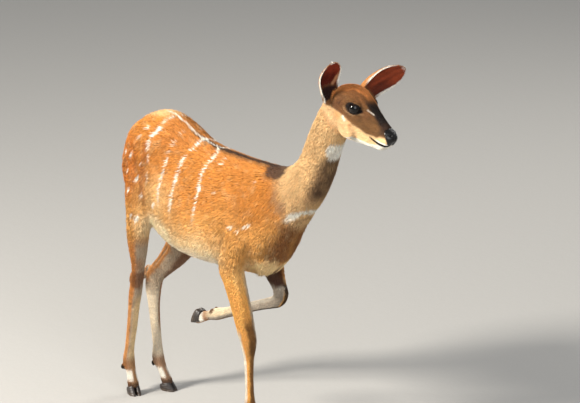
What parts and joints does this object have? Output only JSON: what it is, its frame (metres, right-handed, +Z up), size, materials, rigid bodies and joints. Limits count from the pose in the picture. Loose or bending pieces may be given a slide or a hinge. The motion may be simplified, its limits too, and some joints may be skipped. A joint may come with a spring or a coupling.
{
  "type": "bushbuck antelope",
  "caption": "Female bushbuck, a small hornless antelope with a rufous coat, white stripes and spots, large ears and cloven hooves, caught in mid-step with one foreleg lifted.",
  "frame": {"origin": "middle of the bounding box, on the ground plane under the hooves", "axes": "+X the way the animal faces, +Y its left, +Z up"},
  "size_m": [0.9954, 0.2542, 1.0166],
  "materials": {
    "rufous_coat": "short, lying hair; warm orange-brown with white stripes and spots",
    "pale_coat": "very short, close hair on the lower legs; brown outside, off-white inside and in front",
    "inner_ear": "thin skin with sparse hair, white rim",
    "eye": "wet and near black",
    "hoof": "smooth dark horn, slightly worn"
  },
  "bodies": {
    "root": {"claw_foreleg_left_left": "hoof", "claw_foreleg_left_right": "hoof", "claw_foreleg_right_left": "hoof", "claw_foreleg_right_right": "hoof", "claw_hindleg_left_left": "hoof", "claw_hindleg_left_right": "hoof", "claw_hindleg_right_left": "hoof", "claw_hindleg_right_right": "hoof", "ear_left": "inner_ear", "ear_right": "inner_ear", "eye_left": "eye", "eye_right": "eye", "foreleg_left_lower": "pale_coat", "foreleg_left_upper": "rufous_coat", "foreleg_right_lower": "pale_coat", "foreleg_right_upper": "rufous_coat", "head": "rufous_coat", "hindleg_left_lower": "pale_coat", "hindleg_left_upper": "rufous_coat", "hindleg_right_lower": "pale_coat", "hindleg_right_upper": "rufous_coat", "neck": "rufous_coat", "tail": "rufous_coat", "trunk": "rufous_coat"}
  },
  "joints": []
}
